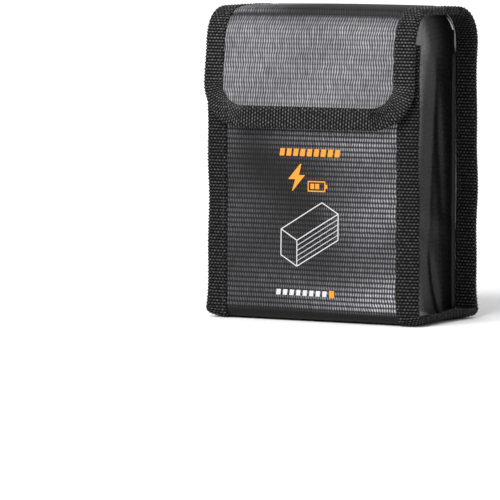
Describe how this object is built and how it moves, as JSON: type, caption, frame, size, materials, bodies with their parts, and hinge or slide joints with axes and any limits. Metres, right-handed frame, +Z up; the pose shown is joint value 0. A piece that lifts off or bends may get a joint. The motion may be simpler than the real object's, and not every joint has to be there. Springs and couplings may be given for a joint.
{
  "type": "lipo safe bag",
  "caption": "Standing fire-resistant cloth pouch for drone batteries, with a divider, tuck flaps and a fold-over cover that closes with hook and loop.",
  "frame": {"origin": "on the floor, centred under the bag's overall box", "axes": "+Z up, +X to the bag's right, and the printed front with the closing flap faces -Y"},
  "size_m": [0.11, 0.065, 0.145],
  "materials": {
    "coated_cloth": "black ribbed glass-fibre cloth with a glossy coating",
    "gusset_cloth": "black ribbed glass-fibre cloth with a glossy coating",
    "lining": "silver-white fine cloth, matte",
    "binding_tape": "black woven binding tape, matte",
    "loop_tape": "black loop pile",
    "hook_tape": "black hook tape",
    "divider_cloth": "white fine cloth, matte"
  },
  "bodies": {
    "bag": {"front_panel": "coated_cloth", "back_panel": "coated_cloth", "bottom_panel": "coated_cloth", "left_gusset": "gusset_cloth", "right_gusset": "gusset_cloth", "front_lining": "lining", "back_lining": "lining", "bottom_lining": "lining", "left_lining": "lining", "right_lining": "lining", "divider": "divider_cloth", "loop_strip": "loop_tape", "front_left_binding": "binding_tape", "front_right_binding": "binding_tape", "back_left_binding": "binding_tape", "back_right_binding": "binding_tape", "bottom_left_binding": "binding_tape", "bottom_right_binding": "binding_tape"},
    "cover": {"cover_panel": "coated_cloth", "cover_lining": "lining", "cover_left_binding": "binding_tape", "cover_right_binding": "binding_tape"},
    "closing_flap": {"flap_panel": "coated_cloth", "flap_lining": "lining", "flap_binding": "binding_tape", "hook_strip": "hook_tape"},
    "left_tuck": {"left_tuck_panel": "gusset_cloth", "left_tuck_lining": "lining", "left_tuck_binding": "binding_tape"},
    "right_tuck": {"right_tuck_panel": "gusset_cloth", "right_tuck_lining": "lining", "right_tuck_binding": "binding_tape"}
  },
  "joints": [
    {"name": "cover_hinge", "type": "hinge", "parent": "bag", "child": "cover", "pos_m": [0, 0.02758, 0.14008], "axis": [-1, 0, 0], "range_deg": [0, 175]},
    {"name": "flap_fold", "type": "hinge", "parent": "cover", "child": "closing_flap", "pos_m": [0, -0.02758, 0.14008], "axis": [-1, 0, 0], "range_deg": [0, 90]},
    {"name": "left_tuck_fold", "type": "hinge", "parent": "bag", "child": "left_tuck", "pos_m": [-0.04465, 0, 0.1328], "axis": [0, -1, 0], "range_deg": [0, 122.5]},
    {"name": "right_tuck_fold", "type": "hinge", "parent": "bag", "child": "right_tuck", "pos_m": [0.04465, 0, 0.1328], "axis": [0, 1, 0], "range_deg": [0, 122.5]}
  ],
  "couplings": [
    {"joint": "left_tuck_fold", "follows": "cover_hinge", "ratio": 0.7},
    {"joint": "right_tuck_fold", "follows": "cover_hinge", "ratio": 0.7}
  ]
}
